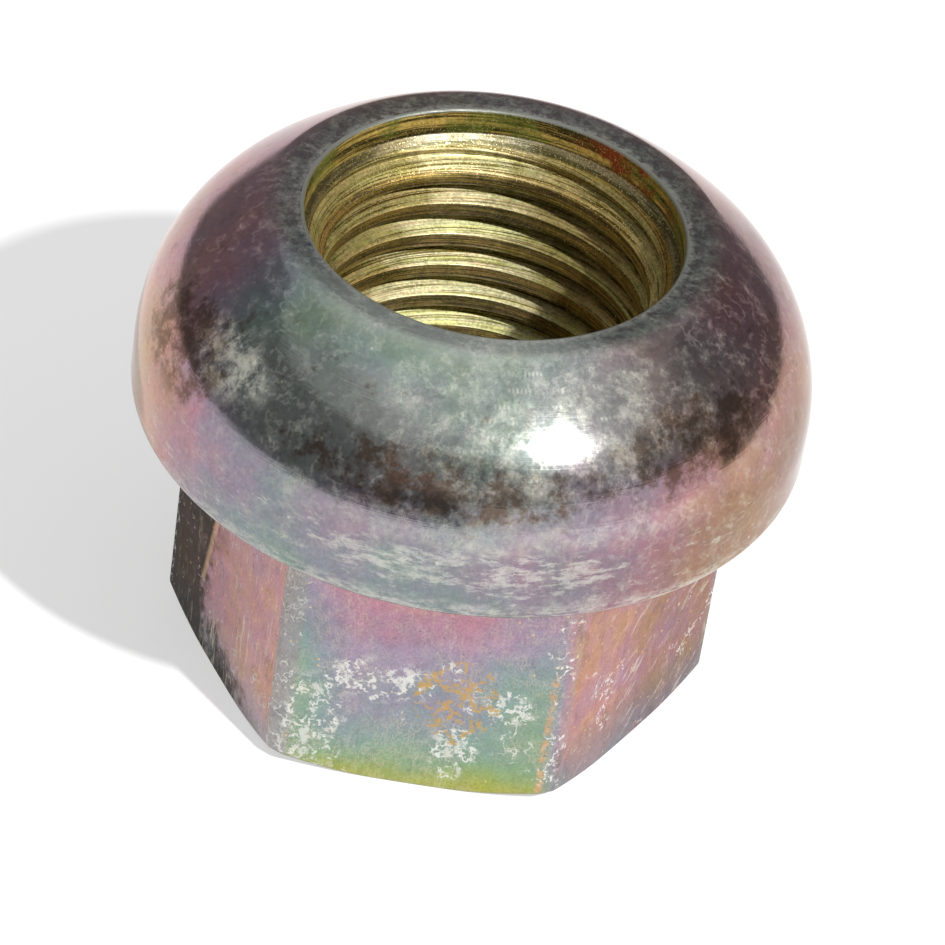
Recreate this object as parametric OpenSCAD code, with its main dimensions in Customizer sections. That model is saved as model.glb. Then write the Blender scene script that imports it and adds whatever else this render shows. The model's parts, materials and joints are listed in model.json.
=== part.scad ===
// Ball seat lug nut for a car wheel: one forged and turned piece of steel.
// It stands on its hex end. The end face is at z = 0 and the ball seat faces up.
// The thread itself is left out: the bore is plain, at the thread's minor diameter.

/* [Hex] */
// Width across the flats, which is the wrench size
across_flats = 19; // [18:0.5:22]
// Width across the corners, after the narrow turned land that each corner has
across_corners = 21.6; // [21:0.1:21.8]
// Diameter of the circle where the end chamfer leaves the end face
end_face_d = 19.3; // [18:0.1:20]
// Slope of the end chamfer against the end face, in degrees
end_chamfer = 22; // [15:1:35]
// Rounding between the end face and its chamfer
end_edge_r = 1.2; // [0.4:0.1:2]

/* [Collar] */
// Height of the collar's underside above the end face
collar_z = 11.7; // [10:0.1:14]
// Diameter of the collar
collar_d = 26.4; // [25.5:0.1:28]
// Height of the straight band around the collar, with its rounded lower edge
band_h = 1.8; // [1.2:0.1:3]
// Rounding of the collar's lower edge
collar_edge_r = 0.5; // [0.2:0.1:1]
// Hollow rounding where the hex runs into the collar's underside
root_r = 0.6; // [0.3:0.1:1]

/* [Ball seat] */
// Height of the whole nut
nut_h = 20.5; // [19.5:0.1:22]
// Radius of the seat's shoulder, from the band to the crown
shoulder_r = 7.1; // [6:0.1:8]
// Radius of the crown, a ball centred on the nut's axis
crown_r = 16.1; // [15:0.1:17]
// Rounding of the crown's top edge, round the mouth
lip_r = 1.4; // [0.5:0.1:2]

/* [Thread] */
// Nominal diameter of the thread
thread_d = 14; // [12:1:14]
// Pitch of the thread
pitch = 1.5; // [1:0.25:1.5]
// Diameter of the plain counterbore in the ball seat, ahead of the thread
seat_mouth_d = 14.6; // [14.4:0.1:15.2]
// Depth of that counterbore
seat_mouth_depth = 1.1; // [0.4:0.1:2]
// Size of the broken edge between the counterbore and the seat's flat top
mouth_edge = 0.1; // [0.05:0.05:0.3]
// Diameter of the countersink in the end face
end_mouth_d = 14.6; // [14.2:0.1:15.4]
// Slope of the countersink, and of the counterbore's floor, against the bore, in degrees
mouth_slope = 45; // [30:5:60]

/* [Hidden] */
$fn = 128;

// Share of the pitch that an ISO thread takes off the nominal diameter at its crests
CREST_SHARE = 1.0825;
// How far cutting and joining shapes run past the faces that they meet
OVER = 1;

flat_r = across_flats / 2;
corner_r = across_corners / 2;
root_z = collar_z - root_r;

// Centre of the small rounding between the end face and its chamfer
end_edge_back = end_edge_r * tan(end_chamfer / 2);
end_edge_centre_r = end_face_d / 2 - end_edge_back;
// Where that rounding runs into the chamfer
end_edge_out_r = end_edge_centre_r + end_edge_r * sin(end_chamfer);
end_edge_out_z = end_edge_r * (1 - cos(end_chamfer));
// The height at which the chamfer reaches the corners
chamfer_z = end_edge_out_z + (corner_r - end_edge_out_r) * tan(end_chamfer);

collar_r = collar_d / 2;
band_top_z = collar_z + band_h;
shoulder_centre_r = collar_r - shoulder_r;
// The shoulder meets the crown where both have the same slope
crown_z = band_top_z - sqrt(pow(crown_r - shoulder_r, 2) - pow(shoulder_centre_r, 2));
shoulder_lean = acos(shoulder_centre_r / (crown_r - shoulder_r));
crown_low_r = crown_r * cos(shoulder_lean);
crown_low_z = crown_z + crown_r * sin(shoulder_lean);
// The lip's rounding meets the crown and the flat top in the same way
lip_centre_z = nut_h - lip_r;
lip_lean = asin((lip_centre_z - crown_z) / (crown_r - lip_r));
lip_centre_r = (crown_r - lip_r) * cos(lip_lean);
crown_high_r = crown_r * cos(lip_lean);
crown_high_z = crown_z + crown_r * sin(lip_lean);

bore_r = (thread_d - CREST_SHARE * pitch) / 2;
seat_mouth_r = seat_mouth_d / 2;
seat_mouth_z = nut_h - seat_mouth_depth;
lead_in_depth = (seat_mouth_r - bore_r) / tan(mouth_slope);
end_mouth_depth = (end_mouth_d / 2 - bore_r) / tan(mouth_slope);

// Rectangle between two radii and two heights, as part of a turned section
module ring_box(r_from, z_from, r_to, z_to) {
    translate([r_from, z_from]) square([r_to - r_from, z_to - z_from]);
}

// What the root leaves free beside a wall at a given radius: its inside is hollow towards the collar
module beside_wall(wall_r) {
    translate([wall_r, -OVER]) square([2 * root_r, root_z + OVER]);
    translate([wall_r + root_r, root_z]) circle(root_r);
}

// Block between two opposite flats, which spreads into the collar with a hollow rounding
module flat_pair() {
    rotate([90, 0, 0])
        linear_extrude(across_corners + 4 * root_r, center = true)
            difference() {
                translate([-flat_r - root_r, 0]) square([across_flats + 2 * root_r, collar_z + OVER]);
                beside_wall(flat_r);
                mirror([1, 0]) beside_wall(flat_r);
            }
}

// Turned envelope of the hex: end face, small rounding, chamfer, corner land and root
module hex_envelope() {
    rotate_extrude()
        difference() {
            union() {
                polygon([
                    [0, 0],
                    [end_edge_centre_r, 0],
                    [end_edge_out_r, end_edge_out_z],
                    [corner_r, chamfer_z],
                    [corner_r, root_z],
                    [corner_r + root_r, root_z],
                    [corner_r + root_r, collar_z + OVER],
                    [0, collar_z + OVER],
                ]);
                intersection() {
                    translate([end_edge_centre_r, end_edge_r]) circle(end_edge_r);
                    ring_box(end_edge_centre_r, 0, end_edge_out_r, end_edge_r);
                }
            }
            translate([corner_r + root_r, root_z]) circle(root_r);
        }
}

// Hexagonal drive: three pairs of flats within the turned envelope
module hex_drive() {
    intersection() {
        rotate(30) flat_pair();
        rotate(90) flat_pair();
        rotate(150) flat_pair();
        hex_envelope();
    }
}

// Section of the collar and the ball seat, from the axis outwards
module collar_section() {
    // band, with its rounded lower edge
    ring_box(0, collar_z, collar_r - collar_edge_r, band_top_z);
    ring_box(0, collar_z + collar_edge_r, collar_r, band_top_z);
    translate([collar_r - collar_edge_r, collar_z + collar_edge_r]) circle(collar_edge_r);
    // shoulder
    intersection() {
        translate([shoulder_centre_r, band_top_z]) circle(shoulder_r);
        ring_box(0, band_top_z, collar_r, crown_low_z);
    }
    // crown
    intersection() {
        translate([0, crown_z]) circle(crown_r);
        ring_box(0, band_top_z, crown_low_r, crown_high_z);
    }
    // flat top and its rounded edge
    ring_box(0, band_top_z, lip_centre_r, nut_h);
    intersection() {
        translate([lip_centre_r, lip_centre_z]) circle(lip_r);
        ring_box(0, crown_high_z, crown_high_r, nut_h);
    }
}

// Bore at the thread's minor diameter, countersunk below. Above, a plain counterbore leads into it.
module bore() {
    rotate_extrude()
        polygon([
            [0, -OVER],
            [end_mouth_d / 2 + OVER * tan(mouth_slope), -OVER],
            [bore_r, end_mouth_depth],
            [bore_r, seat_mouth_z - lead_in_depth],
            [seat_mouth_r, seat_mouth_z],
            [seat_mouth_r, nut_h - mouth_edge],
            [seat_mouth_r + mouth_edge + OVER, nut_h + OVER],
            [0, nut_h + OVER],
        ]);
}

module lug_nut() {
    color("darkkhaki")
        difference() {
            union() {
                hex_drive();
                rotate_extrude() collar_section();
            }
            bore();
        }
}

lug_nut();
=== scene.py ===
"""Ball seat lug nut: one forged and turned piece of steel with a right-handed M14 x 1.5 thread.

The nut stands on its hex end and its ball seat faces up. Lengths are in metres.
"""

import json
import math
from functools import partial, reduce

import bmesh
import bpy
import numpy as np
from mathutils import Matrix, Vector


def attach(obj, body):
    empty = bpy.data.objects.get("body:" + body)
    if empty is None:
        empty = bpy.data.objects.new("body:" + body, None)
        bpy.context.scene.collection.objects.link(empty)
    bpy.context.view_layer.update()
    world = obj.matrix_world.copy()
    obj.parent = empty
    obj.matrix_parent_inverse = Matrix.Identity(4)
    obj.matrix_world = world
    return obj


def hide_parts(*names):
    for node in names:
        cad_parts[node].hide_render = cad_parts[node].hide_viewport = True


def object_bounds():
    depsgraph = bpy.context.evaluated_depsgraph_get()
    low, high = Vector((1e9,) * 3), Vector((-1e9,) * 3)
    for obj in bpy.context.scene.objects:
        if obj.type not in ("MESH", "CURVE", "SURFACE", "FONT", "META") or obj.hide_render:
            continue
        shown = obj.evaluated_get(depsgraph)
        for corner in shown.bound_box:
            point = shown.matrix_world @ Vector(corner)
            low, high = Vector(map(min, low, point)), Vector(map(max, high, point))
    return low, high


MM = 0.001
TURN = 2 * math.pi

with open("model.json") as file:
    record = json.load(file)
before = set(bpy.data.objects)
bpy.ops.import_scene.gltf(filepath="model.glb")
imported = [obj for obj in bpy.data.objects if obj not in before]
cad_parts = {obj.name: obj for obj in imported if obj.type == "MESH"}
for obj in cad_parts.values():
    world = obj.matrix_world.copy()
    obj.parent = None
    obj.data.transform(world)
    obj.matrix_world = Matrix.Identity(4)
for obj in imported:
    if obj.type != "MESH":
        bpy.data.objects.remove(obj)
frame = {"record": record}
cad_low, cad_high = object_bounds()
thread_mount = next(m for m in frame["record"]["mounts"] if m["name"] == "thread")

# Hex
FLAT_R = 19.0 / 2 * MM
CORNER_R = 21.6 / 2 * MM
LAND_EDGE_R = 0.15 * MM
ROOT_R = 0.6 * MM
END_ROUND_START_R = 9.417 * MM
END_ROUND_R = 1.2 * MM
END_CHAMFER = math.radians(22)
END_FLAT_R = 9.2 * MM
EDGE_WEAR = 0.12 * MM
CORNER_WEAR = 0.30 * MM

# Collar and ball seat
HEIGHT = cad_high.z
COLLAR_R = cad_high.x
COLLAR_Z = 11.7 * MM
COLLAR_EDGE_R = 0.5 * MM
BAND_TOP_Z = COLLAR_Z + 1.8 * MM
SHOULDER_R = 7.1 * MM
CROWN_R = 16.1 * MM
LIP_R = 1.4 * MM

# Thread, the counterbore that leads into it, and the countersink in the end face
PITCH = 1.5 * MM
MAJOR_R = 7.0 * MM
# The cut crests stand this far, in mm, outside the nominal minor radius of the plain bore
CREST_PLAY = 0.1
MINOR_R = (thread_mount["dims"]["r_mm"] + CREST_PLAY) * MM
LEAD_IN_SLOPE = 0.7
SEAT_BORE_R = 14.6 / 2 * MM
SEAT_BORE_DEPTH = 1.1 * MM
END_MOUTH_R = 14.6 / 2 * MM
END_MOUTH_SLOPE = math.radians(45)
MOUTH_EDGE_R = 0.15 * MM
# Where the crests lie, as a share of the pitch
CREST_PLACE = 0.665

COLUMNS = 192
WELD = 0.002 * MM

# Rows and columns of the mesh, as shares of the way across their surface
SEAT_BORE_ROWS = (0.05, 0.5, 0.94, 0.99)
LEAD_IN_ROWS = (0.03, 0.1, 0.5, 0.9, 1)
BAND_ROWS = (0.04, 0.35, 0.7)
FLAT_COLUMNS = (0, 0.15, 0.3, 0.44, 0.57, 0.69, 0.8, 0.89, 0.95, 0.992)
LAND_COLUMNS = (0.2, 0.55, 1.0)
END_FACE_ROWS = (0.03, 0.5)
END_CHAMFER_ROWS = (0, 0.35, 0.6, 0.8, 0.97, 1)
WORN_EDGE_ROWS = (0.25, 0.5, 0.75, 1)
HEX_ROWS = (0.01, 0.08, 0.2, 0.35, 0.5, 0.65, 0.8, 0.92, 0.99)
UNDERSIDE_ROWS = (0.03, 0.5, 0.97, 1)
# The same across half a pitch of the thread, from the crest's middle to the root's, as shares of the pitch
HALF_PITCH_ROWS = (0, 0.08, 0.15, 0.178, 0.19, 0.202, 0.23, 0.28, 0.33, 0.37, 0.405, 0.4375, 0.47, 0.5)
ROWS_PER_TURN = 2 * (len(HALF_PITCH_ROWS) - 1)
# Where the flank leaves the crest and reaches the root
CREST_EDGE = 0.19
ROOT_EDGE = 7 / 16
# Turns that the thread's grid starts below the end face, so that its slanting rows cover the whole bore
TURNS_BELOW = 2.0


# Node trees

def put(kind, inputs=(), tree=None, **settings):
    """Adds a node, sets it up, and fills its inputs with values or with links from other sockets.

    It goes into the tree that those sockets are in, so a tree is named only for a node that has none.
    """
    inputs = dict(inputs)
    if tree is None:
        tree = next(value.id_data for value in inputs.values() if isinstance(value, bpy.types.NodeSocket))
    node = tree.nodes.new(kind)
    for name, value in settings.items():
        setattr(node, name, value)
    for key, value in inputs.items():
        if isinstance(value, bpy.types.NodeSocket):
            tree.links.new(value, node.inputs[key])
        else:
            node.inputs[key].default_value = value
    return node


def calc(operation, *values, clamp=False):
    """One step of arithmetic on sockets or numbers."""
    return put("ShaderNodeMath", enumerate(values), operation=operation, use_clamp=clamp).outputs[0]


plus = partial(calc, "ADD")
minus = partial(calc, "SUBTRACT")


def product(*values):
    return reduce(partial(calc, "MULTIPLY"), values)


def highest(*values):
    return reduce(partial(calc, "MAXIMUM"), values)


def axes(point):
    """The X, Y and Z of a point."""
    return put("ShaderNodeSeparateXYZ", {0: point}).outputs


def vector(x, y, z=0.0):
    return put("ShaderNodeCombineXYZ", {"X": x, "Y": y, "Z": z}).outputs[0]


# A group input's kind, by the type of its first value
KINDS_OF_VALUE = {int: "Int", float: "Float", tuple: "Color"}


def start_group(name, kind, inputs, outputs):
    """A new node group: each input has its usual value or its kind of socket, and each output its kind."""
    tree = bpy.data.node_groups.new(name, kind)
    for label, value in inputs.items():
        socket = value if isinstance(value, str) else KINDS_OF_VALUE[type(value)]
        made = tree.interface.new_socket(label, in_out="INPUT", socket_type="NodeSocket" + socket)
        if value is not socket:
            made.default_value = value
    for label, socket in outputs.items():
        tree.interface.new_socket(label, in_out="OUTPUT", socket_type="NodeSocket" + socket)
    return tree, tree.nodes.new("NodeGroupInput").outputs, tree.nodes.new("NodeGroupOutput").inputs


def finish_mesh_tree(tree, mesh, finish, outgoing):
    """Ends a geometry tree: seams closed, instances realised, material set."""
    closed = put("GeometryNodeMergeByDistance", {"Geometry": mesh, "Distance": WELD})
    real = put("GeometryNodeRealizeInstances", {"Geometry": closed.outputs[0]})
    dressed = put("GeometryNodeSetMaterial", {"Geometry": real.outputs[0], "Material": finish})
    tree.links.new(dressed.outputs[0], outgoing["Geometry"])


def grid_round_axis():
    """A grid, 1 by 1, that other trees wrap round the axis: the turn and the row of each of its points."""
    tree, given, out = start_group(
        "Grid Round the Axis", "GeometryNodeTree",
        {"Columns": COLUMNS, "Rows": 10}, {"Mesh": "Geometry", "Turn": "Float", "Row": "Float"})
    across = plus(given["Columns"], 1.0)
    along = plus(given["Rows"], 1.0)
    grid = put("GeometryNodeMeshGrid", {"Vertices X": across, "Vertices Y": along})
    place = axes(put("GeometryNodeInputPosition", tree=tree).outputs[0])
    share = plus(place["Y"], 0.5)
    tree.links.new(grid.outputs["Mesh"], out["Mesh"])
    tree.links.new(plus(place["X"], 0.5), out["Turn"])
    tree.links.new(calc("ROUND", product(share, given["Rows"])), out["Row"])
    return tree


def round_the_axis(radius, height, turn):
    """The point at a radius, a height and a share of a turn."""
    angle = product(turn, TURN)
    return vector(product(radius, calc("COSINE", angle)), product(radius, calc("SINE", angle)), height)


def turned_skin_tree(grid_group):
    """Spins a section, drawn as a curve in the XZ plane, into a skin round the axis."""
    tree, given, out = start_group(
        "Turned Skin", "GeometryNodeTree",
        {"Section": "Geometry", "Columns": COLUMNS, "Finish": "Material"}, {"Geometry": "Geometry"})
    size = put("GeometryNodeAttributeDomainSize", {"Geometry": given["Section"]}, component="CURVE")
    rows = minus(size.outputs["Point Count"], 1.0)
    grid = put("GeometryNodeGroup", {"Columns": given["Columns"], "Rows": rows}, node_tree=grid_group)
    point = put("GeometryNodeSampleIndex",
                {"Geometry": given["Section"], "Index": grid.outputs["Row"]}, data_type="FLOAT_VECTOR")
    tree.links.new(put("GeometryNodeInputPosition", tree=tree).outputs[0], point.inputs["Value"])
    place = axes(point.outputs[0])
    skin = put("GeometryNodeSetPosition", {
        "Geometry": grid.outputs["Mesh"],
        "Position": round_the_axis(place["X"], place["Z"], grid.outputs["Turn"])})
    finish_mesh_tree(tree, skin.outputs[0], given["Finish"], out)
    return tree


def threaded_bore_tree(grid_group):
    """Winds the rows of a grid along the thread, and opens it into the lead-in and the countersink."""
    tree, given, out = start_group(
        "Threaded Bore", "GeometryNodeTree",
        {"Geometry": "Geometry", "Columns": COLUMNS, "Rows per Turn": ROWS_PER_TURN, "Turns": 15,
         "Crest Place": CREST_PLACE, "Top Slope": LEAD_IN_SLOPE, "Bottom Slope": 1.0, "Pitch": PITCH,
         "Major Radius": MAJOR_R, "Minor Radius": MINOR_R, "Top": HEIGHT, "Bottom": 0.0,
         "Bottom Radius": END_MOUTH_R, "Root Rounding": 0.12 * MM, "Crest Rounding": 0.03 * MM,
         "Run-out Rounding": 0.06 * MM, "Run-out Length": 0.25 * MM, "Finish": "Material"},
        {"Geometry": "Geometry"})
    rows = product(given["Rows per Turn"], given["Turns"])
    grid = put("GeometryNodeGroup", {"Columns": given["Columns"], "Rows": rows}, node_tree=grid_group)
    row, turn = grid.outputs["Row"], grid.outputs["Turn"]
    top, bottom, major, minor = given["Top"], given["Bottom"], given["Major Radius"], given["Minor Radius"]

    # place of the row within its pitch, as a share from one crest's middle to the next
    row_in_turn = calc("MODULO", row, given["Rows per Turn"])
    whole = calc("DIVIDE", minus(row, row_in_turn), given["Rows per Turn"])
    within = calc("DIVIDE", row_in_turn, given["Rows per Turn"])
    folded = product(calc("PINGPONG", within, 0.5), 2.0)
    spacing = put("ShaderNodeFloatCurve", {"Value": folded})
    curve = spacing.mapping.curves[0]
    curve.points[0].location = (0, 0)
    curve.points[1].location = (1, HALF_PITCH_ROWS[-1])
    for index, share in enumerate(HALF_PITCH_ROWS[1:-1], 1):
        curve.points.new(index / (len(HALF_PITCH_ROWS) - 1), share)
    for point in curve.points:
        point.handle_type = "VECTOR"
    spacing.mapping.update()
    from_crest = spacing.outputs[0]
    past_root = calc("GREATER_THAN", within, 0.5)
    flipped = minus(1.0, product(from_crest, 2.0))
    share = total(from_crest, (past_root, flipped))

    # height of the row, which climbs a pitch in a turn, kept between the two ends
    lead = plus(plus(whole, share), plus(turn, given["Crest Place"]))
    climbed = product(minus(lead, TURNS_BELOW), given["Pitch"])
    height = calc("MINIMUM", highest(climbed, bottom), top)

    # radius: crest, flank and rounded root, or the lead-in or the countersink where that is wider
    flank = put("ShaderNodeMapRange", {
        "Value": from_crest, "From Min": CREST_EDGE, "From Max": ROOT_EDGE, "To Min": minor, "To Max": major},
        clamp=False).outputs[0]
    crested = calc("SMOOTH_MAX", flank, minor, given["Crest Rounding"])
    rooted = calc("SMOOTH_MIN", crested, major, given["Root Rounding"])
    depth = calc("MINIMUM", rooted, major)
    below_top = minus(top, height)
    above_bottom = minus(height, bottom)
    lead_in = minus(major, product(below_top, given["Top Slope"]))
    countersink = minus(given["Bottom Radius"], product(above_bottom, given["Bottom Slope"]))
    mouth = highest(lead_in, countersink)
    from_end = calc("DIVIDE", calc("MINIMUM", below_top, above_bottom), given["Run-out Length"], clamp=True)
    radius = calc("SMOOTH_MAX", depth, mouth, product(given["Run-out Rounding"], from_end))
    skin = put("GeometryNodeSetPosition", {
        "Geometry": grid.outputs["Mesh"], "Position": round_the_axis(radius, height, turn)})
    finish_mesh_tree(tree, skin.outputs[0], given["Finish"], out)
    return tree


def run_tree(start, tree, values):
    """Runs a geometry tree on an object, with its named inputs set, and returns the plain mesh it makes."""
    modifier = start.modifiers.new(tree.name, "NODES")
    modifier.node_group = tree
    for item in tree.interface.items_tree:
        if item.item_type == "SOCKET" and item.in_out == "INPUT" and item.name in values:
            modifier[item.identifier] = values[item.name]
    evaluated = start.evaluated_get(bpy.context.evaluated_depsgraph_get())
    mesh = bpy.data.meshes.new_from_object(evaluated)
    start.modifiers.remove(modifier)
    bpy.data.objects.remove(start)
    return mesh


# Shape of the nut

def arc(centre, radius, start, end, steps):
    """Points (radius, height) along an arc of a turned section, from one angle to another."""
    angles = [start + (end - start) * i / steps for i in range(steps + 1)]
    return [(centre[0] + radius * math.cos(a), centre[1] + radius * math.sin(a)) for a in angles]


def end_mouth_rounding():
    """Rounded edge from the countersink out to the end face, as section points."""
    centre_r = END_MOUTH_R + MOUTH_EDGE_R * math.tan(END_MOUTH_SLOPE / 2)
    return arc((centre_r, MOUTH_EDGE_R), MOUTH_EDGE_R, -math.pi / 2 - END_MOUTH_SLOPE, -math.pi / 2, 3)


def seat_bore_section():
    """Section of the counterbore, from its rounded edge in the seat's flat top to the thread's lead-in."""
    floor_z = HEIGHT - SEAT_BORE_DEPTH
    lead_in_z = floor_z - (SEAT_BORE_R - MAJOR_R)
    points = arc((SEAT_BORE_R + MOUTH_EDGE_R, HEIGHT - MOUTH_EDGE_R), MOUTH_EDGE_R, math.pi / 2, math.pi, 6)
    wall = points[-1]
    points += [(SEAT_BORE_R, wall[1] + (floor_z - wall[1]) * share) for share in SEAT_BORE_ROWS]
    return points + [(SEAT_BORE_R + (MAJOR_R - SEAT_BORE_R) * share, floor_z + (lead_in_z - floor_z) * share)
                     for share in LEAD_IN_ROWS]


def seat_section():
    """Section of the collar and the ball seat, from the collar's underside to the flat top."""
    edge_centre = (COLLAR_R - COLLAR_EDGE_R, COLLAR_Z + COLLAR_EDGE_R)
    shoulder_centre = (COLLAR_R - SHOULDER_R, BAND_TOP_Z)
    crown_z = BAND_TOP_Z - math.sqrt((CROWN_R - SHOULDER_R) ** 2 - shoulder_centre[0] ** 2)
    shoulder_lean = math.acos(shoulder_centre[0] / (CROWN_R - SHOULDER_R))
    lip_z = HEIGHT - LIP_R
    lip_lean = math.asin((lip_z - crown_z) / (CROWN_R - LIP_R))
    lip_centre = ((CROWN_R - LIP_R) * math.cos(lip_lean), lip_z)
    points = arc(edge_centre, COLLAR_EDGE_R, -math.pi / 2, 0, 7)
    straight = BAND_TOP_Z - COLLAR_Z - COLLAR_EDGE_R
    points += [(COLLAR_R, COLLAR_Z + COLLAR_EDGE_R + share * straight) for share in BAND_ROWS]
    points += arc(shoulder_centre, SHOULDER_R, 0, shoulder_lean, 18)
    points += arc((0, crown_z), CROWN_R, shoulder_lean, lip_lean, 8)[1:]
    points += arc(lip_centre, LIP_R, lip_lean, math.pi / 2, 8)[1:]
    return points + seat_bore_section()[:1]


def even_ring(radius, height):
    """A ring of evenly spaced points."""
    angles = np.arange(COLUMNS) * TURN / COLUMNS
    return np.stack([radius * np.cos(angles), radius * np.sin(angles), np.full(COLUMNS, height)], 1)


def hex_outline():
    """Points and outward normals round the hex: flats, turned corner lands, and roundings between them."""
    lean = math.acos((FLAT_R - LAND_EDGE_R) / (CORNER_R - LAND_EDGE_R))
    half = []
    round_centre = (CORNER_R - LAND_EDGE_R) * np.array([math.cos(lean), math.sin(lean)])
    flat_end = round_centre[1]
    for share in FLAT_COLUMNS:
        half.append(((FLAT_R, flat_end * share), (1.0, 0.0)))
    for step in range(4):
        angle = lean * step / 3
        normal = np.array([math.cos(angle), math.sin(angle)])
        half.append((round_centre + LAND_EDGE_R * normal, normal))
    land = math.pi / 6 - lean
    for share in LAND_COLUMNS:
        normal = np.array([math.cos(lean + land * share), math.sin(lean + land * share)])
        half.append((CORNER_R * normal, normal))
    mirrored = [(np.array(p) * (1, -1), np.array(n) * (1, -1)) for p, n in half[-2:0:-1]]
    sector = mirrored + half
    points, normals = [], []
    for side in range(6):
        angle = math.radians(30 + 60 * side)
        turned = np.array([[math.cos(angle), -math.sin(angle)], [math.sin(angle), math.cos(angle)]])
        for point, normal in sector:
            points.append(turned @ np.array(point))
            normals.append(turned @ np.array(normal))
    return np.roll(points, 1, axis=0), np.roll(normals, 1, axis=0)


def end_height(radius):
    """Height of the hex's turned end at a radius: flat face, small rounding, chamfer."""
    round_r = END_ROUND_R * math.sin(END_CHAMFER)
    along = np.clip(radius - END_ROUND_START_R, 0, round_r)
    rounded = END_ROUND_R - np.sqrt(END_ROUND_R ** 2 - along ** 2)
    return rounded + np.maximum(radius - END_ROUND_START_R - round_r, 0) * math.tan(END_CHAMFER)


def hex_rings():
    """Rings of points from the end mouth, over the end face and up the hex, to the collar's underside."""
    points, normals = hex_outline()
    reach = np.linalg.norm(points, axis=1)
    outward = points / reach[:, None]
    corner = np.clip((reach - FLAT_R) / (CORNER_R - FLAT_R), 0, 1) ** 2
    wear = EDGE_WEAR + (CORNER_WEAR - EDGE_WEAR) * corner
    flat_foot = end_height(reach)
    rings = [even_ring(r, z) for r, z in end_mouth_rounding()]

    def at(xy, z):
        return np.column_stack([xy, np.broadcast_to(z, len(xy))])

    last_even = rings[-1]
    inner = at(outward * END_FLAT_R, 0.0)
    rings += [last_even + (inner - last_even) * share for share in END_FACE_ROWS]
    for share in END_CHAMFER_ROWS:
        radius = END_FLAT_R + share * (reach - wear - END_FLAT_R)
        rings.append(at(outward * radius[:, None], end_height(radius)))
    flat_low = flat_foot + wear
    low, mid, high = rings[-1], at(points, flat_foot), at(points, flat_low)
    for t in WORN_EDGE_ROWS:
        rings.append((1 - t) ** 2 * low + 2 * t * (1 - t) * mid + t ** 2 * high)
    root_z = COLLAR_Z - ROOT_R
    for share in HEX_ROWS:
        rings.append(at(points, flat_low + share * (root_z - flat_low)))
    for step in range(7):
        angle = math.pi / 2 * step / 6
        hollow = normals * ROOT_R * (1 - math.cos(angle))
        rings.append(at(points + hollow, root_z + ROOT_R * math.sin(angle)))
    outer = even_ring(COLLAR_R - COLLAR_EDGE_R, COLLAR_Z)
    last = rings[-1]
    rings += [last + (outer - last) * share for share in UNDERSIDE_ROWS]
    return rings


def ring_mesh(name, rings):
    """A mesh of four-sided faces through rings of equal length."""
    count = len(rings[0])
    faces = []
    for low in range(0, (len(rings) - 1) * count, count):
        for here in range(count):
            after = (here + 1) % count
            faces.append((low + here, low + after, low + count + after, low + count + here))
    mesh = bpy.data.meshes.new(name)
    mesh.from_pydata(np.concatenate(rings).tolist(), [], faces)
    return mesh


def section_curve(name, section):
    """A turned section as a curve in the XZ plane."""
    data = bpy.data.curves.new(name, "CURVE")
    data.dimensions = "3D"
    spline = data.splines.new("POLY")
    spline.points.add(len(section) - 1)
    for point, (radius, height) in zip(spline.points, section):
        point.co = (radius, 0, height, 1)
    return bpy.data.objects.new(name, data)


def link(obj):
    bpy.context.scene.collection.objects.link(obj)
    return obj


def weld(name, parts):
    """Joins skins, each with its finish, along their shared rings into one closed mesh."""
    bm = bmesh.new()
    finishes = []
    for mesh, finish in parts:
        if finish not in finishes:
            finishes.append(finish)
        known = len(bm.faces)
        bm.from_mesh(mesh)
        bm.faces.ensure_lookup_table()
        for face in bm.faces[known:]:
            face.material_index = finishes.index(finish)
    bmesh.ops.remove_doubles(bm, verts=bm.verts, dist=WELD)
    bmesh.ops.recalc_face_normals(bm, faces=bm.faces)
    for face in bm.faces:
        face.smooth = True
    mesh = bpy.data.meshes.new(name)
    bm.to_mesh(mesh)
    bm.free()
    for finish in finishes:
        mesh.materials.append(finish)
    return link(bpy.data.objects.new(name, mesh))


def build_nut(hex_finish, seat_finish, thread_finish):
    """The whole nut as one closed skin: hex, turned seat and threaded bore."""
    grid_group = grid_round_axis()
    turned_skin = turned_skin_tree(grid_group)
    seat = run_tree(link(section_curve("seat_section", seat_section())), turned_skin,
                    {"Columns": COLUMNS, "Finish": seat_finish})
    mouth_section = seat_bore_section()
    mouth = run_tree(link(section_curve("seat_bore_section", mouth_section)), turned_skin,
                     {"Columns": COLUMNS, "Finish": thread_finish})
    end_r, end_z = end_mouth_rounding()[0]
    blank = link(bpy.data.objects.new("bore_blank", bpy.data.meshes.new("bore_blank")))
    bore = run_tree(blank, threaded_bore_tree(grid_group), {
        "Columns": COLUMNS, "Top": mouth_section[-1][1], "Bottom": end_z, "Bottom Radius": end_r,
        "Finish": thread_finish})
    drive = ring_mesh("hex_drive", hex_rings())
    return weld("threaded_lug_nut", [(drive, hex_finish), (seat, seat_finish), (mouth, thread_finish),
                                     (bore, thread_finish)])


# Finishes: steps that the groups and the materials share. Lengths in the patterns are in millimetres.

# Tint of the film's mirroring at a glancing angle
GLANCING_TINT = (0.93, 0.89, 0.87, 1)
# Clear layer on the turned metal, which spreads a glow round the lamp's mirror image
COAT_WEIGHT = 0.28
COAT_ROUGHNESS = 0.45


def screen(red, green, blue):
    """A colour as a screen shows it, 0 to 255 each, in the shader's linear values."""
    linear = [((c / 255 + 0.055) / 1.055) ** 2.4 if c > 10 else c / 255 / 12.92 for c in (red, green, blue)]
    return (*linear, 1.0)


def rise(value, low, high):
    """A smooth rise from 0 at the low value to 1 at the high one, or a fall where they are swapped."""
    return put("ShaderNodeMapRange", {"Value": value, "From Min": low, "From Max": high},
               interpolation_type="SMOOTHSTEP").outputs["Result"]


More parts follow.
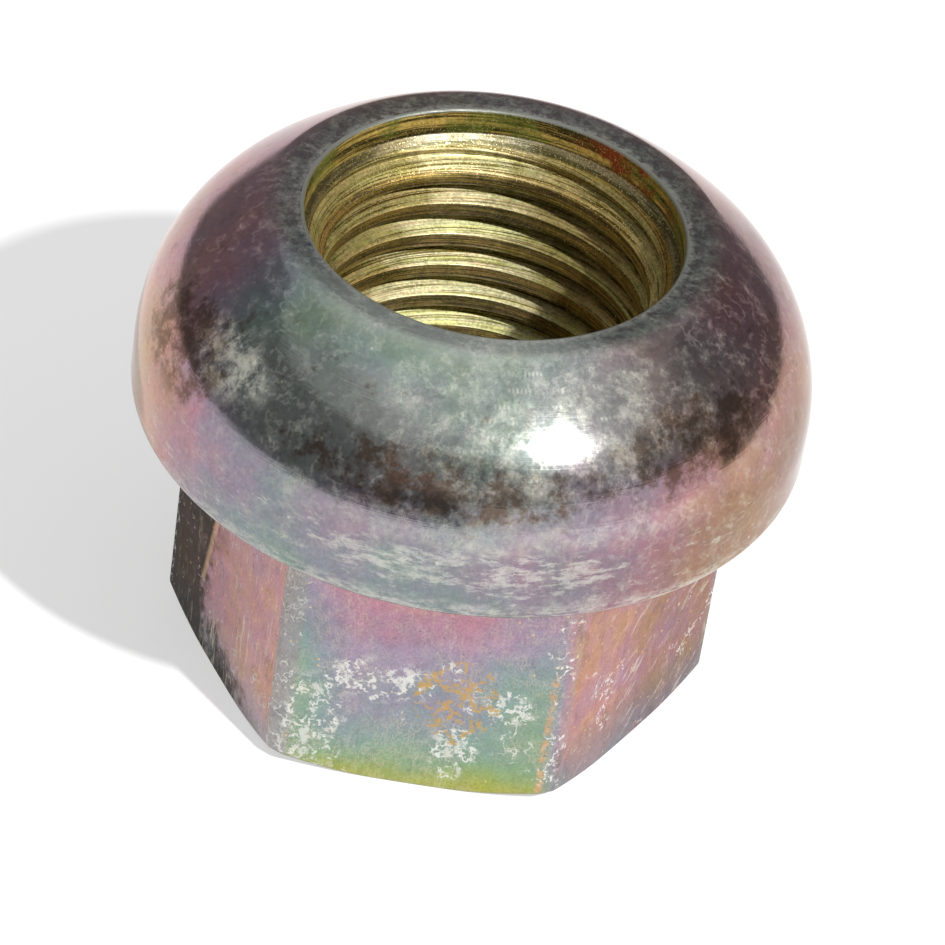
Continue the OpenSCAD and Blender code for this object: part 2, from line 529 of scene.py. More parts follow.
def total(start, *terms):
    """A starting value plus sockets times their factors."""
    result = start
    for value, factor in terms:
        result = calc("MULTIPLY_ADD", value, factor, result)
    return result


def moved(point, seed):
    """The point shifted by a seed, so that two patterns of one kind don't lie on each other."""
    steps = seed if isinstance(seed, bpy.types.NodeSocket) else (seed,) * 3
    return put("ShaderNodeVectorMath", {0: (31.7, 17.3, 23.9), 1: steps, 2: point},
               operation="MULTIPLY_ADD").outputs[0]


def stretched(point, factors):
    """The point with each axis scaled, which draws a pattern out where the factor is low."""
    return put("ShaderNodeVectorMath", {0: point, 1: factors}, operation="MULTIPLY").outputs[0]


def noise(point, scale, detail=2.0, roughness=0.5, seed=0.0):
    return put("ShaderNodeTexNoise", {
        "Vector": moved(point, seed), "Scale": scale, "Detail": detail, "Roughness": roughness}).outputs[0]


def over(under, top, amount, blend_type="MIX"):
    """One colour laid over another."""
    return put("ShaderNodeMix", {0: amount, 6: under, 7: top},
               data_type="RGBA", blend_type=blend_type).outputs[2]


def lay(under, top, mask, share=1.0):
    """A screen colour laid over another where a mask is, at a share of its strength."""
    return over(under, screen(*top), mask if share == 1 else product(mask, share))


def toned(color, tone, mask):
    """A colour multiplied by a tone where a mask is."""
    return over(color, (*tone, 1), mask, "MULTIPLY")


def spot(a, b, centre, reach):
    """1 in the middle of an oval place and 0 outside it."""
    x = calc("DIVIDE", minus(a, centre[0]), reach[0])
    y = calc("DIVIDE", minus(b, centre[1]), reach[1])
    return rise(plus(product(x, x), product(y, y)), 1.0, 0.2)


# Finishes: shader groups

# Shader groups by name
GROUPS = {}
# A group output's kind, by the type of the socket that feeds it
KINDS_OF_RESULT = {"VALUE": "Float", "VECTOR": "Vector", "RGBA": "Color"}


def shader_group(name, inputs):
    """Makes a shader group of a function that takes the group's inputs and returns its outputs by name."""
    def fill(function):
        tree = start_group(name, "ShaderNodeTree", inputs, {})[0]
        results = function(tree.nodes["Group Input"].outputs)
        for label, result in results.items():
            socket = "NodeSocket" + KINDS_OF_RESULT[result.type]
            tree.interface.new_socket(label, in_out="OUTPUT", socket_type=socket)
            tree.links.new(result, tree.nodes["Group Output"].inputs[label])
        GROUPS[name] = tree
        return function
    return fill


@shader_group("Nut Places", {"Point": "Vector"})
def nut_places(given):
    """Where a point of the nut lies: in millimetres, round the axis, and on the hex's flats."""
    scaled = put("ShaderNodeVectorMath", {0: given["Point"], "Scale": 1 / MM}, operation="SCALE").outputs[0]
    place = axes(scaled)
    x, y = place["X"], place["Y"]
    radius = calc("SQRT", plus(product(x, x), product(y, y)))
    bearing = calc("ARCTAN2", x, product(y, -1.0))
    angle = calc("ARCTAN2", y, x)
    from_flat = minus(calc("FLOORED_MODULO", angle, TURN / 6), TURN / 12)
    return {"Millimetres": scaled, "Radius": radius, "Height": place["Z"], "Bearing": bearing,
            "Rightward": calc("SINE", bearing), "Turn": calc("DIVIDE", angle, TURN),
            "Across Flat": product(radius, calc("SINE", from_flat))}


# Colours of the passivated film, from its thinnest to its thickest
FILM_COLOURS = (
    (0.00, screen(168, 170, 80)), (0.12, screen(154, 168, 98)), (0.25, screen(136, 164, 128)),
    (0.38, screen(134, 158, 152)), (0.48, screen(142, 148, 160)), (0.58, screen(162, 143, 166)),
    (0.70, screen(188, 136, 156)), (0.80, screen(196, 138, 140)), (0.90, screen(200, 144, 114)),
    (1.00, screen(202, 151, 98)))


@shader_group("Film Colour", {"Thickness": 0.5, "Dullness": 0.2, "Dull Colour": screen(160, 157, 155)})
def film_colour(given):
    """Colour of the passivated film by its thickness, greyed where the film is dull."""
    ramp = put("ShaderNodeValToRGB", {"Fac": given["Thickness"]})
    stops = ramp.color_ramp.elements
    stops[0].position, stops[0].color = FILM_COLOURS[0]
    stops[1].position, stops[1].color = FILM_COLOURS[-1]
    for position, color in FILM_COLOURS[1:-1]:
        stops.new(position).color = color
    return {"Color": over(ramp.outputs["Color"], given["Dull Colour"], given["Dullness"])}


@shader_group("Chalk Lines", {"Point": "Vector", "Scale": 1.6, "Width": 0.03, "Patch Scale": 0.3,
                              "Coverage": 0.4, "Seed": 0.0})
def chalk_lines(given):
    """Thin curly lines of dried deposit, in patches: contour lines of a noise."""
    ground = noise(given["Point"], given["Scale"], 3.0, 0.6, given["Seed"])
    from_line = calc("ABSOLUTE", minus(ground, 0.5))
    line = rise(from_line, given["Width"], product(given["Width"], 0.3))
    patch = noise(given["Point"], given["Patch Scale"], 3.0, 0.55, plus(given["Seed"], 7.0))
    edge = minus(0.72, product(given["Coverage"], 0.44))
    patches = rise(patch, edge, plus(edge, 0.07))
    gaps = rise(noise(given["Point"], product(given["Scale"], 1.7), 2.0, 0.6, plus(given["Seed"], 3.0)),
                0.42, 0.55)
    return {"Mask": product(line, patches, gaps)}


@shader_group("Specks", {"Point": "Vector", "Scale": 4.0, "Size": 0.25, "Amount": 0.3, "Seed": 0.0})
def specks(given):
    """Small round specks of uneven size: painted glints of grains that catch the light, or pits."""
    cells = put("ShaderNodeTexVoronoi",
                {"Vector": moved(given["Point"], given["Seed"]), "Scale": given["Scale"]})
    chance = put("ShaderNodeSeparateColor", {0: cells.outputs["Color"]})
    size = product(given["Size"], total(0.5, (chance.outputs["Green"], 0.7)))
    dot = rise(cells.outputs["Distance"], size, product(size, 0.5))
    kept = calc("LESS_THAN", chance.outputs["Red"], given["Amount"])
    return {"Mask": product(dot, kept)}


@shader_group("Metal Grain", {"Point": "Vector", "Scale": 8.0, "Contrast": 0.3})
def metal_grain(given):
    """Fine unevenness of plated metal, as a tone to multiply with and a height."""
    fine = noise(given["Point"], given["Scale"], 3.0, 0.65, 5.0)
    cloud = noise(given["Point"], product(given["Scale"], 0.18), 3.0, 0.6, 9.0)
    both = total(-0.5, (fine, 0.65), (cloud, 0.35))
    return {"Tone": total(1.0, (both, product(given["Contrast"], 2.0))), "Height": fine}


@shader_group("Turning Marks", {"Point": "Vector", "Along Section": 0.0, "Lines per mm": 4.0, "Waver": 0.06})
def turning_marks(given):
    """Fine rings that a lathe leaves, by the place along the turned section."""
    place = axes(given["Point"])
    lined = vector(product(place["X"], given["Waver"]), product(place["Y"], given["Waver"]),
                   product(given["Along Section"], given["Lines per mm"]))
    return {"Height": noise(lined, 1.0, 4.0, 0.7, 2.0)}


@shader_group("Chatter Beads", {"Bearing": 0.0, "Height": 0.0, "Beads per Radian": 62.0, "Rows per mm": 2.6})
def chatter_beads(given):
    """Rows of tiny beads round the seat, in short runs."""
    round_nut = product(given["Bearing"], given["Beads per Radian"])
    up_nut = product(given["Height"], given["Rows per mm"])
    x = minus(calc("FRACT", round_nut), 0.5)
    y = product(minus(calc("FRACT", up_nut), 0.5), 2.0)
    away = calc("SQRT", plus(product(x, x), product(y, y)))
    bead = rise(away, 0.44, 0.14)
    cell = vector(product(calc("FLOOR", round_nut), 0.16), product(calc("FLOOR", up_nut), 3.7))
    run = rise(noise(cell, 1.0, 2.0, 0.6, 4.0), 0.56, 0.62)
    return {"Mask": product(bead, run)}


def use(name, **inputs):
    """Places a shader group with its own values. Underscores in the inputs' names stand for spaces."""
    named = {key.replace("_", " "): value for key, value in inputs.items()}
    return put("ShaderNodeGroup", named, node_tree=GROUPS[name]).outputs


def start_finish(name):
    """A metal material, its shader, and the places on the nut that its patterns read."""
    material = bpy.data.materials.new(name)
    material.use_nodes = True
    tree = material.node_tree
    point = put("ShaderNodeTexCoord", tree=tree).outputs["Object"]
    return material, tree.nodes["Principled BSDF"], use("Nut Places", Point=point)


def finish_surface(shader, color, metallic, roughness, height, depth):
    """Links a material's results to its shader. The depth of its relief is in millimetres."""
    bump = put("ShaderNodeBump", {"Distance": depth * MM, "Height": height})
    shader.inputs["Specular Tint"].default_value = GLANCING_TINT
    for socket, result in (("Base Color", color), ("Metallic", metallic), ("Roughness", roughness),
                           ("Normal", bump.outputs[0])):
        shader.id_data.links.new(result, shader.inputs[socket])


# Finishes: the nut's three surfaces

def forged_finish():
    """Forged hex: passivated film from yellow at the foot to rose at the top, with chalky scuffs, and painted
    shade, reflection and glints.
    """
    material, shader, nut = start_finish("passivated_forging")
    point, height, across, bearing = nut["Millimetres"], nut["Height"], nut["Across Flat"], nut["Bearing"]
    rightward = nut["Rightward"]
    broad = noise(point, 0.17, 2.0, 0.5, 3.1)
    middle = noise(point, 0.8, 3.0, 0.6, 1.3)
    aside = rise(calc("ABSOLUTE", bearing), 0.48, 0.56)
    front_side = minus(1.0, aside)

    front = total(-0.15, (rise(height, -0.8, 3.7), 0.40), (rise(height, 3.0, 10.5), 0.24),
                  (rise(height, 1.1, 0.2), -0.10),
                  (product(rise(across, -1.0, 4.5), rise(height, 2.2, 0.6)), -0.10),
                  (broad, 0.34), (middle, 0.22),
                  (product(rise(across, -2.6, -5.0), rise(height, 0.5, 4.0)), -0.20),
                  (product(rise(across, 1.2, 4.6), rise(height, 0.6, 3.5)), -0.19))
    sides = total(0.22, (broad, 0.70), (middle, 0.48), (rise(height, 2.2, 0.2), -0.32),
                  (product(rise(rightward, 0.64, 0.93), rise(height, 1.5, 6.0)), 0.05))
    thickness = total(front, (minus(sides, front), aside))
    dull_noise = noise(point, 0.35, 3.0, 0.6, 6.0)
    dull = total(-0.14, (dull_noise, 0.48), (product(aside, rise(rightward, -0.3, -0.7)), 0.14),
                 (product(aside, rise(height, 3.5, 0.8)), 0.40))
    color = use("Film Colour", Thickness=thickness, Dullness=dull)["Color"]

    # painted shade, darker tones: the front a little, the right side more, and its far end and foot most
    right_side_shade = product(aside, rise(rightward, 0.0, 0.56))
    color = toned(color, (0.92, 0.92, 0.90), front_side)
    color = toned(color, (0.82, 0.83, 0.83), right_side_shade)
    color = toned(color, (0.72, 0.72, 0.74), rise(rightward, 0.72, 0.95))
    color = toned(color, (0.84, 0.88, 0.86), product(right_side_shade, rise(height, 3.4, 1.4)))

    # turned corner lands, rubbed bare, and a thin amber strip beside one of them
    land = rise(nut["Radius"], 10.62, 10.74)
    bare = over(screen(128, 128, 128), screen(166, 166, 164), middle)
    color = over(color, bare, product(land, total(0.4, (rise(rightward, 0.2, -0.2), 0.5))))
    from_strip = calc("ABSOLUTE", minus(across, 5.0))
    amber = product(front_side, rise(from_strip, 0.2, 0.08), rise(height, 7.5, 6.0),
                    rise(noise(point, 3.0, 3.0, 0.7, 2.0), 0.44, 0.56))
    color = lay(color, (208, 160, 112), amber, 0.65)

    # the far left corner and the foot beside it, darkened by a painted reflection of the nut's shadow on the
    # floor
    floor_shadow_reflection = highest(spot(bearing, height, (-1.64, 5.0), (0.54, 40.0)),
                        product(spot(bearing, height, (-1.3, 0.0), (0.7, 3.0)), 0.6))
    ragged = noise(point, 2.2, 2.0, 0.7, 63.0)
    floor_shadow_reflection = rise(total(-1.0, (floor_shadow_reflection, 1.0), (middle, 1.1), (ragged, 0.9)), 0.2, 0.8)
    maroon = product(spot(bearing, height, (-1.45, 9.0), (0.5, 7.0)), rise(middle, 0.36, 0.60))
    color = lay(color, (116, 70, 60), maroon, 0.7)
    color = lay(color, (46, 47, 38), floor_shadow_reflection, 0.88)

    # a fold in the forging, which stands up the left flat, with painted shade in the groove beside it; its
    # pale line is partly a painted highlight
    seam_at = total(-2.8, (height, 0.2))
    from_seam = minus(across, seam_at)
    on_seam = product(rise(bearing, -0.6, -0.8), rise(bearing, -1.6, -1.5), rise(height, 2.6, 3.4))
    seam = product(on_seam, rise(calc("ABSOLUTE", from_seam), 0.26, 0.06))
    seam_groove_shade = product(on_seam, rise(calc("ABSOLUTE", plus(from_seam, 0.3)), 0.22, 0.05))
    color = lay(color, (70, 52, 42), seam_groove_shade, 0.8)
    color = lay(color, (214, 178, 144), seam, 0.65)

    # upright scores on the sides, dark and pale, and finer pale scratches on the left one
    score_noise = noise(stretched(point, (1.7, 1.7, 0.7)), 1.0, 5.0, 0.8, 51.0)
    dark_scores = product(aside, rise(score_noise, 0.47, 0.32))
    color = lay(color, (92, 74, 60), dark_scores, 0.42)
    pale_scores = product(aside, rise(score_noise, 0.56, 0.70))
    color = lay(color, (206, 184, 156), pale_scores, 0.38)

    thin_noise = noise(stretched(point, (5.0, 5.0, 0.5)), 1.0, 2.0, 0.7, 61.0)
    scratches = product(aside, rise(rightward, 0.0, -0.5), rise(thin_noise, 0.56, 0.66),
                        rise(dull_noise, 0.44, 0.58))
    color = lay(color, (216, 204, 184), scratches, 0.6)

    grain = use("Metal Grain", Point=point, Scale=9.0, Contrast=0.7)
    color = over(color, grain["Tone"], 1.0, "MULTIPLY")

    # painted glints: specks of gold, most of them on the sides; and dark pits
    gold_glints = use("Specks", Point=point, Scale=3.4, Size=0.24, Amount=total(0.05, (aside, 0.3)))["Mask"]
    color = lay(color, (230, 198, 140), gold_glints, 0.6)
    pits = use("Specks", Point=point, Scale=2.2, Size=0.15, Amount=0.16, Seed=4.0)["Mask"]
    color = lay(color, (82, 72, 68), pits, 0.6)

    # rubbed streaks that slant up across the right side
    along = plus(across, height)
    athwart = minus(across, height)
    slant = vector(product(along, 0.3), product(athwart, 1.3), rightward)
    streak = product(rise(noise(slant, 1.0, 4.0, 0.8, 15.0), 0.57, 0.64),
                     total(0.1, (rise(rightward, 0.48, 0.78), 0.9)))
    color = lay(color, (186, 182, 170), streak, 0.55)

    # chalky lines and dust, thickest in four places on the front flat
    dusty = product(front_side, highest(
        spot(across, height, (-4.3, 2.4), (2.0, 3.0)), spot(across, height, (-1.7, 5.1), (2.7, 1.3)),
        spot(across, height, (3.2, 4.6), (1.9, 1.0)), spot(across, height, (1.5, 2.1), (1.2, 1.8))))
    chalk = use("Chalk Lines", Point=point, Scale=1.5, Width=total(0.028, (dusty, 0.022)), Patch_Scale=0.5,
                Coverage=total(0.34, (dusty, 0.36), (land, 0.28)), Seed=1.0)["Mask"]
    color = lay(color, (218, 217, 211), chalk, 0.85)
    dust = product(dusty, rise(noise(point, 1.6, 4.0, 0.8, 17.0), 0.53, 0.60))
    color = lay(color, (210, 210, 204), dust, 0.75)

    # fine upright marks all over the front flat, and amber lines in its middle
    from_line = calc("ABSOLUTE", minus(score_noise, 0.5))
    fine_marks = product(front_side, rise(from_line, 0.022, 0.007), rise(dull_noise, 0.40, 0.56))
    color = lay(color, (206, 190, 168), fine_marks, 0.42)
    amber_place = product(front_side, spot(across, height, (1.4, 4.6), (2.2, 2.6)))
    amber_lines = use("Chalk Lines", Point=point, Scale=1.3, Width=0.062, Patch_Scale=0.6,
                      Coverage=total(-0.2, (amber_place, 1.6)), Seed=5.0)["Mask"]
    color = lay(color, (184, 148, 82), amber_lines, 0.85)

    # lower edge, rubbed bare where it faces down
    facing = axes(put("ShaderNodeNewGeometry", tree=material.node_tree).outputs["Normal"])["Z"]
    rubbed = product(rise(facing, -0.12, -0.6), rise(height, 2.0, 1.0))
    color = lay(color, (150, 149, 142), rubbed, 0.6)

    # relief, and what is chalky or stained, and the painted shadow reflection, mirrors less
    brushed = noise(stretched(point, (9.0, 9.0, 0.35)), 1.0, 2.0, 0.5, 8.0)
    relief = total(0.0, (grain["Height"], 0.6), (brushed, 0.4), (seam, 3.0))
    scuffs = highest(chalk, dust, amber_lines, streak)
    finish_surface(shader, color, total(0.9, (scuffs, -0.5), (floor_shadow_reflection, -0.5)),
                   total(0.34, (grain["Height"], 0.14), (scuffs, 0.2), (floor_shadow_reflection, 0.3)), relief, 0.03)
    return material


def turned_finish():
    """Turned ball seat and collar: a brighter film with haze, dark mottling and lathe rings, and painted
    sheen, glints and dark reflections.
    """
    material, shader, nut = start_finish("passivated_turning")
    point, height, radius, bearing = nut["Millimetres"], nut["Height"], nut["Radius"], nut["Bearing"]
    rightward = nut["Rightward"]
    broad = noise(point, 0.16, 2.0, 0.5, 11.0)
    middle = noise(point, 0.7, 4.0, 0.62, 12.0)
    oval = partial(spot, bearing, height)
    ahead = calc("COSINE", plus(bearing, 0.22))
    top = rise(height, 14.5, 19.3)

    # film, greener in front, with painted dark reflection on the upper right and low round the collar, most
    # on the right, and painted shade on the far right
    low_film = total(0.48, (rise(ahead, 0.5, 1.0), -0.40), (rise(rightward, 0.55, 0.9), 0.08), (broad, 0.46),
                     (middle, 0.32))
    high_film = total(0.44, (rise(ahead, 0.4, 0.98), -0.42), (broad, 0.38), (middle, 0.30))
    thickness = total(low_film, (minus(high_film, low_film), top))
    slate_place = highest(oval((-0.5, 17.8), (0.55, 2.2)), oval((0.75, 19.0), (0.6, 1.9)))
    dull = total(-0.1, (noise(point, 0.4, 4.0, 0.6, 13.0), 0.75), (slate_place, 0.5))
    film = use("Film Colour", Thickness=thickness, Dullness=dull, Dull_Colour=screen(142, 143, 140))
    color = toned(film["Color"], (0.74, 0.74, 0.74), product(rise(rightward, 0.35, 0.7), top))
    collar_dark_reflection = product(rise(height, 17.5, 14.5), total(0.55, (rise(rightward, -0.2, 0.78), 0.45)),
                      rise(rightward, -1.0, -0.78))
    color = toned(color, (0.57, 0.56, 0.53), collar_dark_reflection)
    color = toned(color, (0.80, 0.75, 0.75), rise(rightward, 0.86, 0.99))

    # brown and black mottling on the ball, in three places more than elsewhere
    speckle = noise(point, 1.0, 5.0, 0.75, 14.0)
    brown_places = highest(oval((0.0, 17.0), (0.62, 1.3)), oval((0.84, 17.8), (0.40, 1.5)),
                           oval((-1.1, 16.6), (0.32, 2.6)))
    on_ball = product(rise(height, 14.6, 15.8), rise(height, 20.2, 19.4))
    stained = product(rise(total(-0.06, (speckle, 1.0), (brown_places, 0.17)), 0.48, 0.68), on_ball)
    color = lay(color, (88, 58, 34), stained, 0.8)

    # flat ring round the mouth: worn to slate grey, with a painted reflection that makes it pale at the front
    # and darkest at the back
    fine_cloud = noise(point, 2.6, 4.0, 0.75, 23.0)
    ring = product(rise(radius, 9.3, 8.0), rise(height, 19.7, 20.35))
    slate = over(screen(66, 80, 76), screen(122, 136, 126), rise(fine_cloud, 0.42, 0.62))
    slate = lay(slate, (186, 190, 186), rise(ahead, 0.6, 1.0), 0.8)
    color = over(color, slate, product(ring, 0.8))

    # pale haze with net-like veins, a painted sheen round the lamp's highlight, and a patch of rust
    # the second haze place is a painted glow round the lamp's highlight
    haze_and_glow_places = highest(product(oval((-0.86, 17.7), (0.26, 1.5)), 0.5),
                          product(oval((0.40, 18.8), (0.75, 2.2)), 0.35),
                          oval((0.15, 17.0), (0.3, 1.0)), oval((0.1, 15.6), (0.9, 1.0)))
    cloud = noise(point, 1.0, 5.0, 0.78, 22.0)
    haze = rise(total(-0.02, (cloud, 1.0), (haze_and_glow_places, 0.14)), 0.46, 0.76)
    haze_patch = product(oval((-0.88, 17.7), (0.24, 1.3)), rise(cloud, 0.36, 0.62))
    haze = highest(haze, haze_patch)
    veins = use("Chalk Lines", Point=point, Scale=1.05, Width=0.05, Patch_Scale=0.35,
                Coverage=0.72, Seed=21.0)["Mask"]
    painted_sheen_place = product(oval((0.25, 18.9), (0.75, 2.6)), rise(cloud, 0.12, 0.62))
    rust_patch = product(oval((-0.13, 17.3), (0.13, 0.7)), rise(speckle, 0.42, 0.54))
    pale_film_and_sheen = product(
        total(0.0, (veins, 0.13), (haze, 0.30), (haze_patch, 0.38), (painted_sheen_place, 0.28), (rust_patch, 0.25)),
        total(1.0, (ring, -0.3), (product(brown_places, stained), -0.45)))
    haze_colour = over(screen(190, 189, 172), screen(166, 140, 112), product(brown_places, 0.7))
    haze_colour = lay(haze_colour, (120, 74, 48), rust_patch)
    color = over(color, haze_colour, pale_film_and_sheen)

    # rows of tiny beads that the tool left by chattering, painted bright as glints round the lamp's highlight
    bead_rows = use("Chatter Beads", Bearing=bearing, Height=height)["Mask"]
    bead_glints = product(bead_rows, oval((0.30, 18.9), (0.32, 2.8)))
    color = lay(color, (222, 224, 212), bead_glints, 0.5)

    # the mouth's edge, rubbed pale
    mouth_edge = product(rise(radius, 7.75, 7.5), rise(fine_cloud, 0.36, 0.56))
    color = lay(color, (184, 184, 178), mouth_edge, 0.6)

    # flecks rubbed bare along the collar's lower edge and round its band
    rub_noise = noise(stretched(point, (0.9, 0.9, 3.2)), 1.0, 5.0, 0.78, 31.0)
    low_edge = product(rise(height, 12.7, 12.1), rise(rub_noise, 0.42, 0.58))
    band_noise = total(0.0, (rub_noise, 1.0), (oval((0.05, 14.0), (0.6, 1.2)), 0.10))
    band = product(rise(height, 15.4, 14.4), rise(band_noise, 0.56, 0.68))
    bared = highest(low_edge, product(band, 0.9))
    color = lay(color, (202, 200, 190), bared, 0.52)

    grain = use("Metal Grain", Point=point, Scale=6.0, Contrast=0.5)
    color = over(color, grain["Tone"], 1.0, "MULTIPLY")
    flecks = use("Specks", Point=point, Scale=1.4, Size=0.12, Amount=0.12, Seed=6.0)["Mask"]
    color = lay(color, (205, 200, 190), flecks, 0.6)

    # lathe rings in relief. The seat's section falls outwards, so height less radius runs along it.
    along = minus(height, radius)
    rings = use("Turning Marks", Point=point, Along_Section=along, Lines_per_mm=5.0, Waver=0.05)["Height"]
    relief = total(0.0, (grain["Height"], 0.3), (rings, 0.5))
    shader.inputs["Coat Weight"].default_value = COAT_WEIGHT
    shader.inputs["Coat Roughness"].default_value = COAT_ROUGHNESS
    finish_surface(shader, color, total(0.98, (pale_film_and_sheen, -0.9), (ring, -0.1), (bared, -0.15)),
                   total(0.08, (pale_film_and_sheen, 0.14), (ring, 0.08), (bared, 0.12), (grain["Height"], 0.05)),
                   relief, 0.006)
    return material


def tapped_finish():
    """Tapped thread and counterbore: straw flanks, olive crests, and marks that follow the thread, with
    painted light and shade round the bore.
    """
    material, shader, nut = start_finish("passivated_thread")
    point, height, turn = nut["Millimetres"], nut["Height"], nut["Turn"]

    # place across the thread, from one crest's middle to the next
    lead = total(-CREST_PLACE, (height, MM / PITCH), (turn, -1.0))
    phase = calc("FRACT", lead)
    from_crest = calc("MINIMUM", phase, minus(1.0, phase))

    # the same place on a ring that comes round once a pitch, so that the lines follow the thread
    circle = product(lead, TURN)
    place = axes(point)
    wound = vector(total(0.0, (calc("COSINE", circle), 2.4), (place["X"], 0.14)),
                   total(0.0, (calc("SINE", circle), 2.4), (place["Y"], 0.14)), product(height, 0.25))
    lines = noise(wound, 1.6, 4.0, 0.8, 41.0)
    tints = noise(wound, 1.3, 4.0, 0.8, 43.0)
    middle = noise(point, 0.9, 3.0, 0.6, 42.0)

    # painted light and shade: a pale film at the back, where the lamp's light falls, and golden olive painted
    # shade elsewhere, reaching further round near the top
    film = use("Film Colour", Thickness=total(-1.7, (tints, 3.5), (middle, 0.8)), Dullness=0.0)["Color"]
    backward = calc("COSINE", plus(nut["Bearing"], 2.98))
    painted_bore_shade = rise(total(0.0, (backward, 1.0), (middle, 0.3), (rise(height, 12.0, 17.5), -0.12)), 1.10, 0.92)
    flank = over(screen(255, 248, 180), film, 0.42)
    flank = lay(flank, (112, 98, 38), rise(lines, 0.52, 0.41))
    # olive crests, darker than the flanks partly as painted shade
    crest = over(screen(84, 72, 22), screen(214, 184, 92), rise(lines, 0.43, 0.58))
    crest = over(crest, film, 0.2)
    flank = toned(flank, (0.52, 0.46, 0.30), painted_bore_shade)
    crest = toned(crest, (0.66, 0.60, 0.45), painted_bore_shade)
    color = over(flank, crest, rise(total(-0.03, (from_crest, 1.0), (middle, 0.06)), 0.20, 0.13))

    # counterbore wall above the thread, and the sloped floor that leads into it
    rings = use("Turning Marks", Point=point, Along_Section=height, Lines_per_mm=4.0, Waver=0.10)["Height"]
    uneven = total(-0.10, (rings, 0.12), (middle, 0.08))
    wall = over(screen(58, 50, 16), screen(214, 182, 96), rise(rings, 0.43, 0.58))
    green = noise(point, 0.45, 3.0, 0.6, 45.0)
    wall = lay(wall, (104, 116, 44), rise(green, 0.46, 0.56), 0.6)
    rust = product(spot(nut["Bearing"], height, (2.35, 20.0), (0.5, 0.9)), rise(middle, 0.4, 0.6))
    wall = lay(wall, (142, 68, 34), rust)
    floor = over(screen(164, 160, 142), screen(108, 106, 78), rise(rings, 0.44, 0.54))
    # painted shade on the floor, as on the thread
    floor = toned(floor, (0.62, 0.54, 0.36), painted_bore_shade)
    level = plus(height, uneven)
    color = over(color, over(floor, wall, rise(level, 19.36, 19.46)), rise(level, 19.02, 19.12))

    grain = use("Metal Grain", Point=point, Scale=8.0, Contrast=1.3)
    color = over(color, grain["Tone"], 1.0, "MULTIPLY")
    # painted glints: gold specks, most of them near the top
    gold_glints = use("Specks", Point=point, Scale=16.0, Size=0.45, Seed=8.0,
               Amount=total(0.10, (rise(height, 14.0, 19.0), 0.35)))["Mask"]
    color = lay(color, (250, 228, 168), gold_glints, 0.65)
    mouth_edge = rise(height, 20.36, 20.44)
    color = lay(color, (118, 120, 112), mouth_edge)

    relief = total(0.0, (lines, 0.9), (grain["Height"], 0.5))
    finish_surface(shader, color, total(0.9, (rise(level, 19.3, 19.5), -0.3), (gold_glints, 0.1)),
                   total(0.48, (grain["Height"], 0.2), (rise(level, 19.0, 19.1), -0.14), (gold_glints, -0.15)),
                   relief, 0.02)
    return material


nut = build_nut(forged_finish(), turned_finish(), tapped_finish())
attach(nut, "root")
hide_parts("lug_nut")


# Studio. Bearings and heights are in degrees.

PAPER_R = 0.3
PAPER_GREY = 0.45
PAPER_GLOW = 0.5
# Radii between which the glow starts, under the nut
GLOW_START = (7.5 * MM, 8.5 * MM)
# The sky's strength as a light, and what is added to it where the camera sees it
SKY_LIGHT = 0.55
SKY_SEEN = 0.45
CARD_DISTANCE = 0.45
CARD_STEPS = 24


def seen_or_mirrored(tree):
    """1 for a ray that comes from the camera, straight or by way of a mirror or glass."""
    path = put("ShaderNodeLightPath", tree=tree).outputs
    return highest(path["Is Camera Ray"], path["Is Glossy Ray"], path["Is Transmission Ray"])


def matt(name, grey):
    """A dull grey material and its shader."""
    material = bpy.data.materials.new(name)
    material.use_nodes = True
    shader = material.node_tree.nodes["Principled BSDF"]
    shader.inputs["Base Color"].default_value = (grey, grey, grey, 1)
    shader.inputs["Roughness"].default_value = 0.9
    return material, shader


def studio_floor():
    bpy.ops.mesh.primitive_circle_add(vertices=96, radius=PAPER_R, fill_type="NGON")
    floor = bpy.context.object
    floor.name = "studio_floor"
    material, shader = matt("pale paper", PAPER_GREY)
    tree = material.node_tree
    shader.inputs["Emission Color"].default_value = (1, 1, 1, 1)
    # the paper is lit from beneath, except where the nut stands on it
    point = put("ShaderNodeTexCoord", tree=tree).outputs["Object"]
    from_axis = put("ShaderNodeVectorMath", {0: point}, operation="LENGTH").outputs["Value"]
    glow = product(seen_or_mirrored(tree), rise(from_axis, *GLOW_START), PAPER_GLOW)
    tree.links.new(glow, shader.inputs["Emission Strength"])
    floor.data.materials.append(material)


def studio_world():
    world = bpy.data.worlds.new("studio")
    bpy.context.scene.world = world
    world.use_nodes = True
    tree = world.node_tree
    tree.nodes.clear()
    strength = total(SKY_LIGHT, (seen_or_mirrored(tree), SKY_SEEN))
    sky = put("ShaderNodeBackground", {"Color": (1, 1, 1, 1), "Strength": strength})
    put("ShaderNodeOutputWorld", {"Surface": sky.outputs[0]})


def toward(bearing, height, distance):
    """A point seen from the nut: bearing 0 is the camera's side and 90 is +X."""
    b, h = math.radians(bearing), math.radians(height)
    return Vector((math.sin(b) * math.cos(h), -math.cos(b) * math.cos(h), math.sin(h))) * distance


def soft_lamp(name, bearing, height, distance, size, power):
    data = bpy.data.lights.new(name, "AREA")
    data.shape = "DISK"
    data.size = size
    data.energy = power
    lamp = link(bpy.data.objects.new(name, data))
    target = Vector((0, 0, HEIGHT / 2))
    lamp.location = target + toward(bearing, height, distance)
    lamp.rotation_mode = "QUATERNION"
    lamp.rotation_quaternion = (lamp.location - target).to_track_quat("Z", "Y")


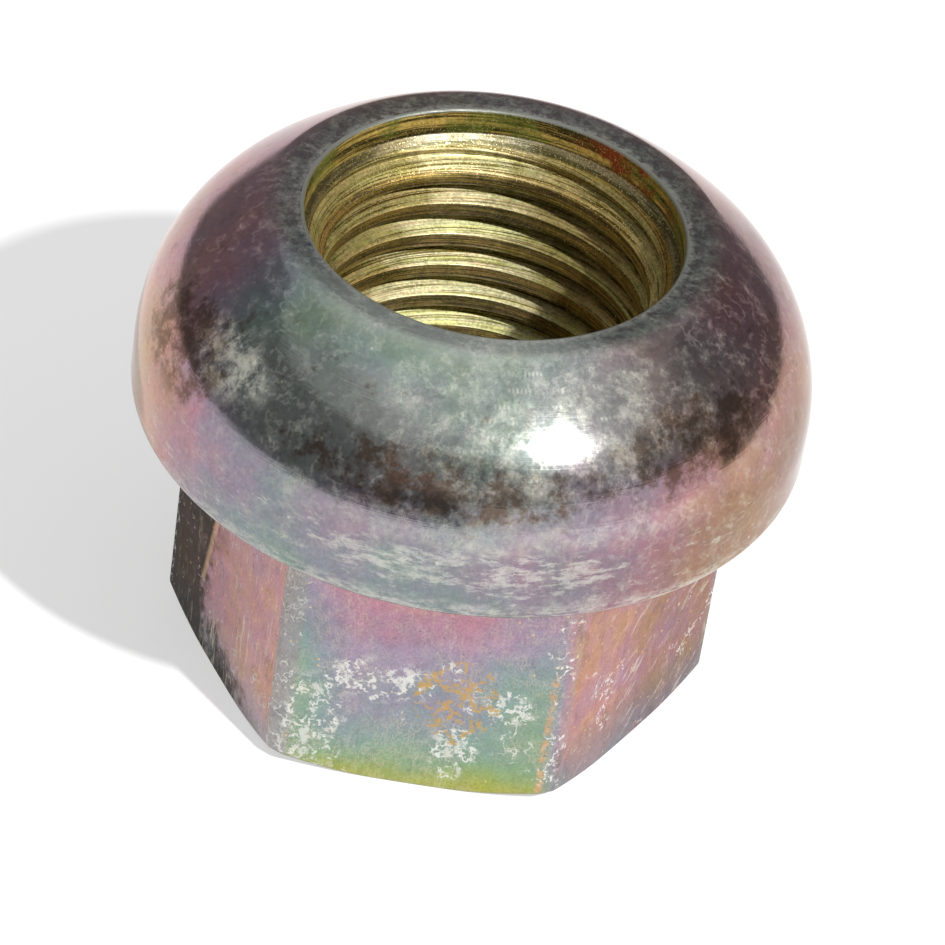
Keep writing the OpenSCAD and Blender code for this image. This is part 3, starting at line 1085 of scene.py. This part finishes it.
def studio_flag(name, bearings, heights, grey):
    """A grey curved card that stands outside the view and shows in the polished seat."""
    verts = []
    for i in range(CARD_STEPS + 1):
        bearing = bearings[0] + (bearings[1] - bearings[0]) * i / CARD_STEPS
        verts += [toward(bearing, height, CARD_DISTANCE) for height in heights]
    faces = [(2 * i, 2 * i + 2, 2 * i + 3, 2 * i + 1) for i in range(CARD_STEPS)]
    mesh = bpy.data.meshes.new(name)
    mesh.from_pydata(verts, [], faces)
    flag = link(bpy.data.objects.new(name, mesh))
    mesh.materials.append(matt(name, grey)[0])
    flag.visible_camera = False
    flag.visible_diffuse = False


studio_floor()
studio_world()
soft_lamp("key_lamp", bearing=41, height=46, distance=0.35, size=0.014, power=1.75)
studio_flag("dark_card", bearings=(90, 365), heights=(-4, 42), grey=0.22)
studio_flag("low_cut_card", bearings=(5, 90), heights=(15, 42), grey=0.22)
studio_flag("middle_card", bearings=(-180, 180), heights=(42, 54), grey=0.60)
studio_flag("overhead_card", bearings=(-180, 180), heights=(54, 88), grey=0.95)


# Camera, as fitted to the photo. The sensor and the lens are in millimetres.

CAMERA_DISTANCE = 201.1 * MM
CAMERA_HEIGHT = math.radians(38.27)
CAMERA_ROLL = math.radians(8.87)
CAMERA_SIDE = 0.353 * MM
CAMERA_DROP = 1.604 * MM
CLIP_START = 0.01
CLIP_END = 10
SENSOR = 36
LENS = 195.45


def photo_camera():
    data = bpy.data.cameras.new("photo_camera")
    camera = link(bpy.data.objects.new("photo_camera", data))
    data.sensor_width = SENSOR
    data.lens = LENS
    data.clip_start = CLIP_START
    data.clip_end = CLIP_END
    back = Vector((0, -math.cos(CAMERA_HEIGHT), math.sin(CAMERA_HEIGHT)))
    right = Vector((1, 0, 0))
    up = back.cross(right)
    across = right * math.cos(CAMERA_ROLL) + up * math.sin(CAMERA_ROLL)
    upward = up * math.cos(CAMERA_ROLL) - right * math.sin(CAMERA_ROLL)
    camera.rotation_mode = "QUATERNION"
    camera.rotation_quaternion = Matrix((across, upward, back)).transposed().to_quaternion()
    aim = Vector((0, 0, HEIGHT / 2))
    camera.location = aim + back * CAMERA_DISTANCE + across * CAMERA_SIDE - upward * CAMERA_DROP
    bpy.context.scene.camera = camera


photo_camera()
bpy.context.scene.view_settings.view_transform = "Standard"
